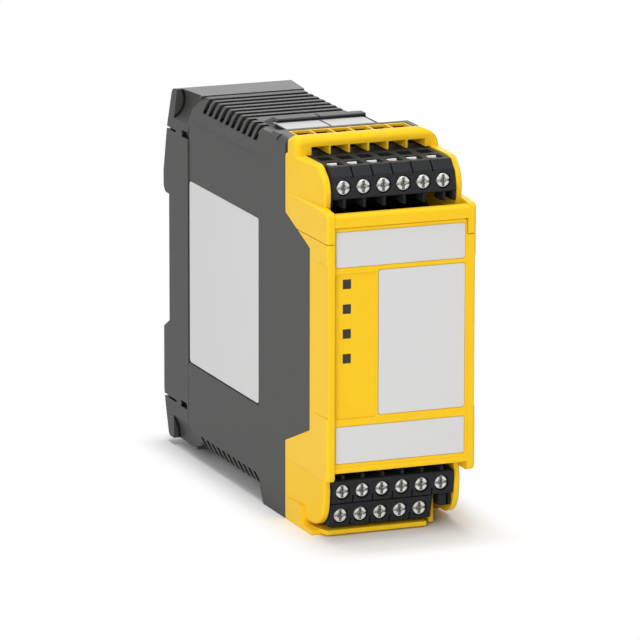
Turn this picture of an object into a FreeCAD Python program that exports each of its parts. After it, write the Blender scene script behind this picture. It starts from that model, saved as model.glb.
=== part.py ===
import FreeCAD, Part
import math
import os
from collections import namedtuple

os.makedirs("parts", exist_ok=True)

V = FreeCAD.Vector

# Overall sizes in millimetres: X across, Y from front to back, Z up, origin under the middle of the module.
# Depths are given as v, measured back from the front rim, and heights as z above the bottom.
WIDTH = 45.0
DEPTH = 131.4
HEIGHT = 111.75
WALL = 1.8
SEAM = 0.2
RUN_CLEAR = 0.3
HALF = WIDTH / 2

# Main case: the parting line with the yellow pieces steps forward at the waist.
PARTING_V = 32.0
WAIST_V = 13.2
CHEEK_TOP_Z = HEIGHT - 22.55
WAIST_TOP_Z = CHEEK_TOP_Z - 6.6
CHEEK_LOW_Z = 23.0
WAIST_LOW_Z = CHEEK_LOW_Z + 7.2
STRIP_V = PARTING_V + 12.4
STRIP_Z = HEIGHT - 1.55
VENT_Z = HEIGHT - 2.55
VENT_FLOOR_Z = 4.0
FOOT_V = PARTING_V + 17.2
FOOT_RAMP = 2.8
BASE_LONG = 20.8
REAR_V = DEPTH - BASE_LONG
REAR_DROP = 8.6
STEP_X = HALF - 10.8
STEP_Z = HEIGHT - 9.25
STEP_BEVEL = 1.5
BEVEL_V = PARTING_V + 21.0
BEVEL_DROP = 4.0
BEVEL_IN = 2.3
EDGE_ROUND = 2.2
EDGE_ROUND_LONG = 6.5
EDGE_BEVEL = 1.0
PANEL_DEEP = 0.3
PANEL_LOW_Z = 28.2
PANEL_TOP_Z = HEIGHT - 10.45

# Label carrier on the top
HOLDER_LEFT = -HALF + 5.0
HOLDER_RIGHT = STEP_X - 0.9
HOLDER_V = STRIP_V + 9.8
HOLDER_LONG = 8.0
HOLDER_RISE = 1.9
HOLDER_GAP = 0.6
BED_Z = STRIP_Z - 0.1

# Vents: each row is spread evenly between its first and last slot, and a slot takes a share of the pitch.
TOP_SLOTS = 10
FULL_SLOTS = 7
TOP_FIRST_V = REAR_V - 13.6
TOP_LAST_V = STRIP_V + 11.74
TOP_SHARE = 0.573
LOW_SLOTS = 11
LOW_FIRST_V = REAR_V - 11.3
LOW_LAST_V = FOOT_V + 7.4
LOW_SHARE = 0.54

# Rear base and rail recess
RAIL = 35.0
RAIL_THICK = 1.2
RAIL_ROOM = 3.3
RAIL_MID_Z = HEIGHT / 2 + 0.675
SEAT_DEEP = 4.7
SEAT_V = DEPTH - SEAT_DEEP
SEAT_TOP_Z = RAIL_MID_Z + (RAIL + RAIL_ROOM) / 2
SEAT_LOW_Z = RAIL_MID_Z - (RAIL + RAIL_ROOM) / 2
BASE_LOW_Z = 2.2
SCOOP_V = REAR_V - 6.6
TOP_SCOOP_RADIUS = 6.0
TOP_SCOOP_DEEP = 3.85
TOP_SCOOP_DROP = 4.6
LOW_SCOOP_RADIUS = 12.2
LOW_SCOOP_DEEP = 2.0
LOW_SCOOP_RISE = 0.5
REAR_LEAN = 1.6
SCOOP_END_V = DEPTH - 8.2
HOOK_HALF = HALF - 4.5
HOOK_DROP = 1.6
LATCH_HALF = 7.0
LATCH_THICK = 2.6
LATCH_LIP = 1.6
LATCH_LOW_Z = 4.6
LATCH_TRAVEL = 3.0
LATCH_WING = 1.4
SPRING_THICK = 0.5
SPRING_LOW_Z = 9.0
SPRING_FOLDS = 6

# Terminal hood and front cover
FACE_V = 0.9
PANEL_THICK = 2.0
RIM = 2.4
RIM_ROUND = 0.9
GRIP_DEEP = 0.45
LIP_Z = HEIGHT - 17.55
TONGUE_TOP_Z = LIP_Z - 4.0
SEAM_Z = TONGUE_TOP_Z - 4.1
COVER_LOW_Z = 20.1
WING_LOW_Z = COVER_LOW_Z - 2.4
SHOULDER_Z = HEIGHT - 16.45
CHEEK_Z = HEIGHT - 5.45
CHEEK_THICK = 3.6
CHEEK_V = 6.0
CHEEK_DRAFT = 1.8
CHEEK_ROUND = 0.8
NOSE_LOW_Z = 2.7
BAR_V = 25.4
BAR_ROUND = 1.9
FRAME_HALF = HALF - 4.8
FRAME_Z = HEIGHT - 1.65
FRAME_LONG = 10.2
FRAME_RIM = 0.8
WINDOW_TOP_Z = FRAME_Z - 1.5
WINDOW_WEB = 0.56
SHELF_THICK = 1.3
SHELF_LOW_Z = 0.5
SHELF_V = 8.2
END_WALL = 1.4

# Labels and lights
LABEL_THICK = 0.2
LABEL_SINK = 0.3
LABEL_GAP = 0.15
LABEL_HALF = HALF - 3.1
UPPER_LABEL = (TONGUE_TOP_Z - 11.1, TONGUE_TOP_Z - 1.1)
LOWER_LABEL = (COVER_LOW_Z + 2.8, COVER_LOW_Z + 13.3)
INFO_LABEL = (LOWER_LABEL[1] + 2.8, UPPER_LABEL[0] - 1.5)
INFO_LEFT = -HALF + 15.9
LIGHT_FIELD = (-HALF + 2.9, INFO_LEFT - 0.7)
FIELD_SINK = 0.5
LIGHT_X = -HALF + 6.5
LIGHT_PITCH = 7.1
LIGHT_ROWS = tuple(INFO_LABEL[1] - 3.4 - LIGHT_PITCH * i for i in range(4))
LIGHT_WIDE = 2.45
LIGHT_TALL = 2.7
LIGHT_GAP = 0.08

# Screw terminals: six poles fill the width between the cheeks.
BLOCK_GAP = 0.5
BLOCK_END = 0.4
POLE = (HALF - CHEEK_THICK - BLOCK_GAP - BLOCK_END) / 3
BLOCK_REAR_V = PARTING_V + 1.0
SCREW_HEAD = 0.7 * POLE
SCREW_SHAFT = 2.4
SCREW_LONG = 5.4
HEAD_TALL = 1.5
HEAD_GAP = 0.22
HEAD_BEVEL = 0.25
CAGE_WIDE = POLE - 1.4
CAGE_LONG = 5.6
CAGE_HALF_TALL = 2.4
CAGE_WALL = 0.6
CAGE_GAP = 0.15
CAGE_BACK = 2.2
CAGE_TAB = 2.9
WIRE_WIDE = CAGE_WIDE - 0.2
WIRE_LONG = 4.9
WIRE_ROUND = 1.2
PROBE_LONG = 4.8
GROOVE = 0.44
LEG = 0.8
PIN = 1.0
PIN_GAP = 0.05
PIN_REACH = 6.0
HEADER_LONG = 7.7
HEADER_HALF_TALL = 2.6

# Circuit boards
BOARD = 1.6
BOARD_GAP = 0.2
GUIDE = 0.85
LOGIC_X = -HALF + 6.9
RELAY_X = HALF - 8.5
TOP_BOARD = (HEIGHT - 22.75, HEIGHT - 7.55)
LOW_BOARD = (WALL + BOARD_GAP, 24.0)
DISPLAY_V = FACE_V + PANEL_THICK + 5.2
DISPLAY_HALF = HALF - 4.5
DISPLAY_BOARD = (LOWER_LABEL[1] - 1.4, UPPER_LABEL[0] + 2.9)
BOARD_V = BLOCK_REAR_V + RUN_CLEAR + HEADER_LONG
RELAY_V = STRIP_V + 15.6
RELAY_LONG = 28.6
RELAY_TALL = 12.6
RELAY_DEEP = 15.0
CHIP_V = STRIP_V + 25.6
CHIP_SIDE = 10.0
CAN_ROUND = 8.0
CAN_LONG = 11.0
LINK_WIDE = 6.0
LINK_LONG = 5.0

# One row of terminals: pole positions, height and depth of the screw heads, wires from above or below.
Row = namedtuple("Row", "poles z head wire_up")
POLES = tuple(POLE * (i - 2.5) for i in range(6))
TOP_ROW = Row(POLES, HEIGHT - 11.35, 6.7, True)
BOTTOM_ROW = Row(POLES, 13.1, 7.2, False)
LOWEST_ROW = Row(POLES[:5], 5.9, 8.6, False)
ROWS = {"top": TOP_ROW, "bottom": BOTTOM_ROW, "lowest": LOWEST_ROW}
TOP_BLOCK_Z = TOP_ROW.z + 5.6


def box(x0, x1, v0, v1, z0, z1):
    """Block between two widths, two depths behind the front rim and two heights."""
    return Part.makeBox(x1 - x0, v1 - v0, z1 - z0, V(x0, v0 - DEPTH / 2, z0))


def outline(corners, place):
    """Closed face through corners (a, b, radius), with an arc wherever a radius is given."""
    count = len(corners)
    ends = []
    for i, (a, b, radius) in enumerate(corners):
        here = V(a, b, 0)
        before = V(corners[i - 1][0], corners[i - 1][1], 0)
        after = V(corners[(i + 1) % count][0], corners[(i + 1) % count][1], 0)
        to_before = (before - here).normalize()
        to_after = (after - here).normalize()
        if radius == 0:
            ends.append((here, None, here))
            continue
        half = to_before.getAngle(to_after) / 2
        reach = radius / math.tan(half)
        middle = (to_before + to_after).normalize()
        arc_mid = here + middle * (radius / math.sin(half) - radius)
        ends.append((here + to_before * reach, arc_mid, here + to_after * reach))
    edges = []
    for i, (start, arc_mid, end) in enumerate(ends):
        if arc_mid is not None:
            edges.append(Part.Arc(place(start), place(arc_mid), place(end)).toShape())
        following = ends[(i + 1) % count][0]
        if (end - following).Length > 1e-6:
            edges.append(Part.LineSegment(place(end), place(following)).toShape())
    return Part.Face(Part.Wire(edges))


def side_prism(corners, x0, x1):
    """Side outline of (v, z, radius) corners, carried across the width."""
    face = outline(corners, lambda p: V(x0, p.x - DEPTH / 2, p.y))
    return face.extrude(V(x1 - x0, 0, 0))


def plan_prism(corners, z0, z1):
    """Plan outline of (x, v, radius) corners, carried up."""
    face = outline(corners, lambda p: V(p.x, p.y - DEPTH / 2, z0))
    return face.extrude(V(0, 0, z1 - z0))


def front_prism(corners, v0, v1):
    """Front outline of (x, z, radius) corners, carried back."""
    face = outline(corners, lambda p: V(p.x, v0 - DEPTH / 2, p.y))
    return face.extrude(V(0, v1 - v0, 0))


def frame_corners(a0, a1, b0, b1, radius):
    """Corners of a rectangle with one radius."""
    return [(a0, b0, radius), (a1, b0, radius), (a1, b1, radius), (a0, b1, radius)]


def bolt(x, z, diameter, v0, v1):
    """Round bar that runs from front to back."""
    return Part.makeCylinder(diameter / 2, v1 - v0, V(x, v0 - DEPTH / 2, z), V(0, 1, 0))


def mirrored(shape):
    """Copy of a shape on the other side of the middle plane."""
    return shape.mirror(V(0, 0, 0), V(1, 0, 0))


def edges_where(shape, chosen):
    """Edges whose middle point is chosen; the point comes as x, depth behind the front rim and z."""
    edges = []
    for edge in shape.Edges:
        middle = edge.valueAt((edge.FirstParameter + edge.LastParameter) / 2)
        if chosen(V(middle.x, middle.y + DEPTH / 2, middle.z)):
            edges.append(edge)
    return edges


def waist_edge_v(z):
    """Depth of the sloping parting line between waist and upper cheek at one height."""
    slope = (CHEEK_TOP_Z - WAIST_TOP_Z) / (PARTING_V - WAIST_V)
    return WAIST_V + (z - WAIST_TOP_Z) / slope


def bevel_cut(side, edge_z, drop, v0, v1):
    """Wedge that takes the long edge of the case away; drop is negative for a lower edge."""
    out = side * (HALF + 2)
    corners = [
        (out, edge_z - drop, 0),
        (side * HALF, edge_z - drop, 0),
        (side * (HALF - 0.62 * BEVEL_IN), edge_z - 0.27 * drop, 0),
        (side * (HALF - BEVEL_IN), edge_z, 0),
        (side * (HALF - BEVEL_IN), edge_z + drop, 0),
        (out, edge_z + drop, 0),
    ]
    return front_prism(corners, v0, v1)


def shoulder_cut(v0, v1):
    """Piece taken off the right top corner, which slopes and rounds down to the side."""
    return front_prism([
        (HALF - 8.0, HEIGHT + 1, 0),
        (HALF - 8.0, HEIGHT + 0.65, 0),
        (HALF - 1.9, HEIGHT - 1.65, 4.5),
        (HALF - 0.6, STEP_Z + 0.5, 0),
        (HALF, STEP_Z, 0),
        (HALF + 1, STEP_Z, 0),
        (HALF + 1, HEIGHT + 1, 0),
    ], v0, v1)


def case_hollow():
    """Room inside the main case: full height on the left, lower under the step on the right."""
    front = WAIST_V - 2
    ceiling = VENT_Z - WALL
    rear = REAR_V - WALL
    floor = VENT_FLOOR_Z + WALL
    drop = REAR_DROP - 0.8
    inner = [
        (front, ceiling, 0),
        (rear - drop, ceiling, 0),
        (rear, ceiling - drop, 0),
        (rear, floor + 5.0, 0),
        (rear - drop, floor, 0),
        (FOOT_V + FOOT_RAMP - WALL, floor, 0),
        (FOOT_V - WALL, WALL, 0),
        (front, WALL, 0),
    ]
    lower = [(v, min(z, STEP_Z - WALL), radius) for v, z, radius in inner]
    left = side_prism(inner, -HALF + WALL, STEP_X - WALL)
    right = side_prism(lower, -HALF + WALL, HALF - WALL)
    inner = HALF - CHEEK_THICK
    throat = box(-HALF + WALL, inner, front, STRIP_V - 1.4, CHEEK_TOP_Z, STRIP_Z - WALL)
    slot_v = BOARD_V - BOARD_GAP
    slot_end = slot_v + BOARD + 2 * BOARD_GAP
    slot = box(inner - 1, HALF - WALL, slot_v, slot_end, CHEEK_TOP_Z, TOP_BOARD[1] + BOARD_GAP)
    return left.fuse([right, throat, slot])


def case_vents():
    """Slots across the top and along both lower edges of the main case."""
    slots = []
    pitch = (TOP_FIRST_V - TOP_LAST_V) / (TOP_SLOTS - 1)
    half = pitch * TOP_SHARE / 2
    for i in range(TOP_SLOTS):
        v = TOP_FIRST_V - pitch * i
        end = STEP_X + 1 if i < FULL_SLOTS else HOLDER_LEFT - 0.6
        slots.append(box(-HALF - 1, end, v - half, v + half, VENT_Z - BEVEL_DROP, VENT_Z + 1))
    pitch = (LOW_FIRST_V - LOW_LAST_V) / (LOW_SLOTS - 1)
    half = pitch * LOW_SHARE / 2
    for i in range(LOW_SLOTS):
        v = LOW_FIRST_V - pitch * i
        z1 = VENT_FLOOR_Z + BEVEL_DROP
        slots.append(box(-HALF - 1, HALF + 1, v - half, v + half, VENT_FLOOR_Z - 1, z1))
    return slots


def label_holder():
    """Raised bed on the top for the two top labels, with a ridge that they slide under."""
    top = VENT_Z + HOLDER_RISE
    end = HOLDER_V + HOLDER_LONG
    bar = side_prism([
        (STRIP_V - 1, VENT_Z - 1, 0),
        (STRIP_V - 1, BED_Z, 0),
        (HOLDER_V, BED_Z, 0),
        (HOLDER_V, top, 0.5),
        (HOLDER_V + 4.0, top, 1.5),
        (end, VENT_Z, 0),
        (end, VENT_Z - 1, 0),
    ], HOLDER_LEFT, HOLDER_RIGHT)
    ramp = front_prism([
        (HOLDER_LEFT - 1, VENT_Z, 0),
        (HOLDER_LEFT, VENT_Z, 0),
        (HOLDER_LEFT + 1.6, top + 0.1, 0),
        (HOLDER_LEFT - 1, top + 0.1, 0),
    ], HOLDER_V - 1, end + 1)
    middle = (HOLDER_LEFT + HOLDER_RIGHT) / 2
    nick = box(middle - 0.25, middle + 0.25, HOLDER_V - 1, end + 1, top - 0.35, top + 1)
    return bar.cut([ramp, nick])


def board_guides():
    """Upright ribs inside the main case that hold the edges of the boards."""
    ribs = []
    wall = HALF - WALL
    for side in (-1, 1):
        x0, x1 = sorted((side * (wall + 0.5), side * (wall - 1.5)))
        high = TOP_BOARD[1] if side < 0 else STEP_Z - WALL + 0.5
        for z0, z1 in ((TOP_BOARD[0], high), (WALL - 0.5, LOW_BOARD[1])):
            for v0 in (BOARD_V - GUIDE - 0.15, BOARD_V + BOARD + 0.15):
                ribs.append(box(x0, x1, v0, v0 + GUIDE, z0, z1))
    rear = REAR_V - WALL
    for x in (LOGIC_X, RELAY_X):
        for x0 in (x - GUIDE - 0.15, x + BOARD + 0.15):
            ribs.append(box(x0, x0 + GUIDE, rear - 2.6, rear + 0.5, COVER_LOW_Z, CHEEK_TOP_Z))
    return ribs


def main_case():
    """Grey tub, open at the front, with vents, label carrier and board guides."""
    front = PARTING_V + SEAM
    waist = WAIST_V + SEAM
    outer = [
        (front, STRIP_Z, 0.6),
        (STRIP_V, STRIP_Z, 0.4),
        (STRIP_V, VENT_Z, 0),
        (REAR_V - REAR_DROP, VENT_Z, 0),
        (REAR_V, VENT_Z - REAR_DROP, 0),
        (REAR_V, VENT_FLOOR_Z + REAR_DROP - FOOT_RAMP, 0),
        (REAR_V - REAR_DROP, VENT_FLOOR_Z, 0),
        (FOOT_V + FOOT_RAMP, VENT_FLOOR_Z, 0),
        (FOOT_V, 0, 0.8),
        (front, 0, 1.2),
        (front, CHEEK_LOW_Z, 0),
        (waist, WAIST_LOW_Z, 0.6),
        (waist, WAIST_TOP_Z, 0.6),
        (front, CHEEK_TOP_Z, 0),
    ]
    body = side_prism(outer, -HALF, HALF)
    frame = FRAME_HALF + SEAM
    cuts = [case_hollow(), shoulder_cut(PARTING_V - 1, STRIP_V + 1)]
    cuts.append(box(STEP_X, HALF + 1, STRIP_V, REAR_V + 1, STEP_Z, STRIP_Z + 1))
    cuts.append(front_prism([
        (STEP_X - STEP_BEVEL, VENT_Z + 1, 0),
        (STEP_X - STEP_BEVEL, VENT_Z, 0),
        (STEP_X, VENT_Z - 1.6 * STEP_BEVEL, 0),
        (STEP_X + 1, VENT_Z - 1.6 * STEP_BEVEL, 0),
        (STEP_X + 1, VENT_Z + 1, 0),
    ], HOLDER_V + HOLDER_LONG, REAR_V + 1))
    cuts.append(box(-frame, frame, front - 1, front + FRAME_LONG, CHEEK_Z, STRIP_Z + 1))
    cuts.append(bevel_cut(-1, VENT_Z, BEVEL_DROP, BEVEL_V, REAR_V + 1))
    for side in (-1, 1):
        cuts.append(bevel_cut(side, VENT_FLOOR_Z, -BEVEL_DROP, FOOT_V + FOOT_RAMP + 0.1, REAR_V + 1))
    cuts += case_vents()
    cuts.append(box(-HALF - 1, -HALF + PANEL_DEEP, BEVEL_V, REAR_V + 1, PANEL_LOW_Z, PANEL_TOP_Z))
    cuts += left_edge_cuts()
    body = body.cut(cuts).fuse(label_holder())
    pocket_z = BED_Z - LABEL_SINK
    pocket_end = HOLDER_V + 2.6
    x0, x1 = HOLDER_LEFT + 0.8, HOLDER_RIGHT - 0.8
    beds = [box(x0, x1, HOLDER_V - 1, pocket_end, pocket_z, pocket_z + HOLDER_GAP)]
    for x0, x1 in top_label_spans():
        beds.append(box(x0 - LABEL_GAP, x1 + LABEL_GAP, STRIP_V + 0.5, pocket_end, pocket_z, BED_Z + 0.3))
    body = body.cut(beds).fuse(board_guides())
    return body.removeSplitter()


def left_edge_cuts():
    """Left top edge of the case: rounded next to the hood, then bevelled as far as the vents."""
    x = -HALF + EDGE_ROUND
    z = STRIP_Z - EDGE_ROUND
    v = PARTING_V + EDGE_ROUND_LONG
    corner = box(-HALF - 1, x, PARTING_V - 1, v, z, STRIP_Z + 1)
    cuts = [corner.cut(Part.makeCylinder(EDGE_ROUND, v, V(x, -DEPTH / 2, z), V(0, 1, 0)))]
    for top, v0, v1 in ((STRIP_Z, v, STRIP_V), (VENT_Z, STRIP_V, BEVEL_V)):
        wedge = [
            (-HALF - 1, top - EDGE_BEVEL - 1, 0),
            (-HALF + EDGE_BEVEL + 1, top + 1, 0),
            (-HALF - 1, top + 1, 0),
        ]
        cuts.append(front_prism(wedge, v0, v1))
    return cuts


def top_label_spans():
    """Widths taken by the two labels on the top."""
    middle = (HOLDER_LEFT + HOLDER_RIGHT) / 2
    return ((HOLDER_LEFT + 0.6, middle - 0.3), (middle + 0.3, HOLDER_RIGHT - 0.6))


def base_scoop(side, z, radius, deep):
    """Finger scoop in a corner of the base, closed by the rear wall."""
    centre = V(side * (HALF + radius - deep), SCOOP_V - DEPTH / 2, z)
    return Part.makeCylinder(radius, SCOOP_END_V - SCOOP_V, centre, V(0, 1, 0))


def rear_base():
    """Grey base with the rail recess, fixed hook, latch channel and finger scoops."""
    rear = REAR_V + SEAM
    outer = [
        (rear - REAR_DROP, VENT_Z + 0.2, 0),
        (DEPTH - 4.2, VENT_Z - 1.9, 1.8),
        (DEPTH - 3.2, VENT_Z - 13.0, 0),
        (DEPTH, SEAT_TOP_Z + 6.3, 0),
        (DEPTH, SEAT_TOP_Z, 2.6),
        (SEAT_V, SEAT_TOP_Z, 0.3),
        (SEAT_V, SEAT_LOW_Z, 0.3),
        (DEPTH, SEAT_LOW_Z - 2.6, 0.5),
        (DEPTH, BASE_LOW_Z + 13.6, 0),
        (DEPTH - 1.2, BASE_LOW_Z + 8.6, 0),
        (DEPTH - 4.0, BASE_LOW_Z, 1.8),
        (DEPTH - 19.4, BASE_LOW_Z, 0),
        (rear - REAR_DROP + 0.8, VENT_FLOOR_Z - 0.6, 0),
        (rear, VENT_FLOOR_Z + REAR_DROP - FOOT_RAMP - 0.1, 0),
        (rear, VENT_Z - REAR_DROP + 0.1, 0),
    ]
    body = side_prism(outer, -HALF, HALF)
    inner = [
        (rear - 1, VENT_Z - 11.6, 0),
        (DEPTH - 5.6, VENT_Z - 11.6, 0),
        (SEAT_V - WALL, SEAT_TOP_Z + 14.3, 0),
        (SEAT_V - WALL, BASE_LOW_Z + 11.8, 0),
        (rear - 1, BASE_LOW_Z + 11.8, 0),
    ]
    cuts = [side_prism(inner, -HALF + WALL, HALF - WALL)]
    cuts.append(base_scoop(-1, VENT_Z - TOP_SCOOP_DROP, TOP_SCOOP_RADIUS, TOP_SCOOP_DEEP))
    for side in (-1, 1):
        cuts.append(base_scoop(side, BASE_LOW_Z + LOW_SCOOP_RISE, LOW_SCOOP_RADIUS, LOW_SCOOP_DEEP))
    cuts.append(front_prism([
        (-HALF - 1, VENT_Z - 13.0, 0),
        (-HALF, VENT_Z - 13.0, 0),
        (-HALF + REAR_LEAN, VENT_Z + 1, 0),
        (-HALF - 1, VENT_Z + 1, 0),
    ], REAR_V - REAR_DROP - 1, DEPTH + 1))
    cuts.append(plan_prism([
        (STEP_X - 1.2, REAR_V - REAR_DROP - 1, 0),
        (STEP_X + 5.6, DEPTH + 1, 0),
        (HALF + 1, DEPTH + 1, 0),
        (HALF + 1, REAR_V - REAR_DROP - 1, 0),
    ], STEP_Z, VENT_Z + 2))
    for side in (-1, 1):
        x0, x1 = sorted((side * (HALF + 1), side * (HALF - 1.2)))
        for z in (VENT_Z - 14.0, BASE_LOW_Z + 11.4):
            cuts.append(box(x0, x1, DEPTH - 10.5, DEPTH + 1, z, z + 0.7))
        cuts.append(box(x0, x1, REAR_V - 0.2, REAR_V + 5.3, VENT_Z - 14.2, VENT_Z - 12.2))
        cuts.append(box(x0, x1, REAR_V + 1.2, REAR_V + 6.5, BASE_LOW_Z + 11.2, BASE_LOW_Z + 13.1))
    low_v = SEAT_V + RAIL_THICK
    channel = LATCH_HALF + RUN_CLEAR
    flange = channel + LATCH_WING
    spring = spring_half() + 2 * RUN_CLEAR
    cuts.append(box(-channel, channel, low_v - RUN_CLEAR, DEPTH + 1, -1, SEAT_LOW_Z + 3))
    cuts.append(box(-flange, flange, low_v - RUN_CLEAR, low_v + 1.2 + RUN_CLEAR, -1, SEAT_LOW_Z - 6))
    cuts.append(box(-spring, spring, low_v - 3.0, low_v, SPRING_LOW_Z, SEAT_LOW_Z - 9))
    body = body.cut(cuts)
    adds = [side_prism([
        (low_v, SEAT_TOP_Z + 1, 0),
        (DEPTH - 0.6, SEAT_TOP_Z + 1, 0),
        (DEPTH - 0.6, SEAT_TOP_Z - HOOK_DROP + 1.2, 0),
        (DEPTH - 1.4, SEAT_TOP_Z - HOOK_DROP, 0),
        (low_v, SEAT_TOP_Z - HOOK_DROP, 0),
    ], -HOOK_HALF, HOOK_HALF)]
    for side in (-1, 1):
        x0, x1 = sorted((side * (LATCH_HALF + 3), side * (LATCH_HALF + 5)))
        foot = [
            (REAR_V + 3, BASE_LOW_Z + 1, 0),
            (REAR_V + 3, 0, 0.8),
            (SEAT_V - 2, 0, 0.8),
            (SEAT_V - 2, BASE_LOW_Z + 1, 0),
        ]
        adds.append(side_prism(foot, x0, x1))
    return body.fuse(adds).removeSplitter()


def latch_top():
    """Height of the latch's nose, which laps behind the lower edge of the rail."""
    return SEAT_TOP_Z - RAIL - SEAM + LATCH_LIP


def spring_half():
    """Half of the spring's width."""
    return LATCH_HALF - 2.4


def rail_latch():
    """Sliding rail latch with a bevelled nose, guide flanges and a slotted pull tab."""
    v0 = SEAT_V + RAIL_THICK
    v1 = v0 + LATCH_THICK
    top = latch_top()
    wing = LATCH_HALF + LATCH_WING
    spring = spring_half()
    bar = side_prism([
        (v0, LATCH_LOW_Z, 0.4),
        (v0, top, 0.2),
        (v0 + 0.8, top, 0),
        (v1, top - 2.8, 0.4),
        (v1, LATCH_LOW_Z, 0.4),
    ], -LATCH_HALF, LATCH_HALF)
    flange = box(-wing, wing, v0, v0 + 1.2, LATCH_LOW_Z + 2, SEAT_LOW_Z - 6 - LATCH_TRAVEL)
    foot = box(-spring, spring, v0 - 2.4, v0 + 0.5, SEAT_LOW_Z - 11.5, SEAT_LOW_Z - 9.5)
    slot = box(-2.6, 2.6, v0 - 1, v1 + 1, LATCH_LOW_Z + 2.0, LATCH_LOW_Z + 4.2)
    return bar.fuse([flange, foot]).cut(slot).removeSplitter()


def latch_spring():
    """Folded strip spring that pushes the latch up."""
    low = SPRING_LOW_Z + 0.05
    high = SEAT_LOW_Z - 11.5 - 0.05
    step = (high - low - SPRING_THICK) / SPRING_FOLDS
    reach = spring_half() - SEAM
    v0 = SEAT_V + RAIL_THICK - 2.3
    strips = []
    for i in range(SPRING_FOLDS + 1):
        z = low + step * i
        strips.append(box(-reach, reach, v0, v0 + 1.8, z, z + SPRING_THICK))
    for i in range(SPRING_FOLDS):
        z = low + step * i
        x = reach - SPRING_THICK if i % 2 == 0 else -reach
        strips.append(box(x, x + SPRING_THICK, v0, v0 + 1.8, z, z + step + SPRING_THICK))
    return strips[0].fuse(strips[1:]).removeSplitter()


def cheek_x(v):
    """Half width over the terminal cheeks, which draw in from the parting line to their fronts."""
    return HALF - CHEEK_DRAFT * (PARTING_V - v) / (PARTING_V - CHEEK_V)


def drawn_in(shape):
    """Part of a shape between the planes that the outsides of the cheeks lie in."""
    plan = [
        (-cheek_x(0), 0, 0),
        (cheek_x(0), 0, 0),
        (HALF, PARTING_V, 0),
        (-HALF, PARTING_V, 0),
    ]
    return shape.common(plan_prism(plan, -1, HEIGHT + 1))


def on_outside(point):
    """True for a point on the outside of a cheek."""
    return abs(abs(point.x) - cheek_x(point.y)) < 0.02 and point.y < PARTING_V - 0.01


def rounded_cheek(profile, low, high):
    """Right terminal cheek: a wall that draws in towards the front, with a rounded outer edge."""
    wall = drawn_in(side_prism(profile, HALF - CHEEK_THICK, HALF))
    rim = edges_where(wall, lambda p: on_outside(p) and low < p.z < high)
    return wall.makeFillet(CHEEK_ROUND, rim)


def terminal_hood():
    """Yellow upper hood: windowed bar, drawn-in terminal cheeks, lip and upper rim ends."""
    inner = HALF - CHEEK_THICK
    low = LIP_Z - 3.0
    bar = side_prism([
        (BAR_V, low, 0),
        (BAR_V, HEIGHT - 0.6, 2.2),
        (BAR_V + 3.4, HEIGHT, 2.4),
        (PARTING_V, HEIGHT - 1.4, 0.4),
        (PARTING_V, low, 0),
    ], -HALF, HALF)
    bar = drawn_in(bar)
    front_part = PARTING_V - 0.6
    left_end = edges_where(bar, lambda p: p.x < 0 and on_outside(p) and p.y < front_part and p.z > low + 0.1)
    bar = bar.makeFillet(BAR_ROUND, left_end)
    mouth = box(-inner, inner, 0, PARTING_V + 1, low - 1, CHEEK_Z)
    bar = bar.cut([shoulder_cut(BAR_V - 1, PARTING_V + 1), mouth])
    frame = box(-FRAME_HALF, FRAME_HALF, PARTING_V - 0.5, PARTING_V + FRAME_LONG, CHEEK_Z, FRAME_Z)
    cheek = rounded_cheek([
        (PARTING_V, low, 0),
        (PARTING_V, CHEEK_Z, 0),
        (12.0, CHEEK_Z, 4.8),
        (7.2, CHEEK_Z - 3.7, 4.8),
        (6.2, CHEEK_Z - 7.3, 4.8),
        (7.1, low, 0),
    ], low + 0.01, HEIGHT)
    wing = side_prism([
        (0, SEAM_Z, 0),
        (0, SHOULDER_Z - 0.6, 1.6),
        (6.0, SHOULDER_Z, 0),
        (PARTING_V, SHOULDER_Z, 0),
        (PARTING_V, CHEEK_TOP_Z, 0),
        (waist_edge_v(SEAM_Z), SEAM_Z, 0),
    ], HALF - RIM, HALF)
    wing_edges = edges_where(wing, lambda p: p.x > HALF - 0.01 and p.y < 5 and p.z > SEAM_Z + 0.1)
    wing = wing.makeFillet(RIM_ROUND, wing_edges)
    lip = side_prism([
        (0.1, TONGUE_TOP_Z + SEAM, 0.4),
        (0.1, LIP_Z, 1.2),
        (3.0, LIP_Z, 0.4),
        (3.0, TONGUE_TOP_Z + SEAM, 0),
    ], -HALF + RIM - 0.5, HALF - RIM + 0.5)
    right_cheek = cheek.cut(shoulder_cut(0, PARTING_V + 1))
    body = bar.fuse([frame, right_cheek, mirrored(cheek), wing, mirrored(wing), lip])
    cuts = []
    pitch = 2 * (FRAME_HALF - 0.24) / len(POLES)
    end = PARTING_V + FRAME_LONG - RIM_ROUND
    for i in range(len(POLES)):
        x0 = pitch * (i - len(POLES) / 2) + WINDOW_WEB / 2
        x1 = x0 + pitch - WINDOW_WEB
        cuts.append(box(x0, x1, BAR_V - 1, end, CHEEK_Z - 1, WINDOW_TOP_Z))
        cuts.append(box(x0, x1, end - 1, end + 2, CHEEK_Z - 1, FRAME_Z - FRAME_RIM))
        cuts.append(box(x0, x1, PARTING_V + 1.2, end, WINDOW_TOP_Z - 1, FRAME_Z + 1))
    return body.cut(cuts).removeSplitter()


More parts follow.
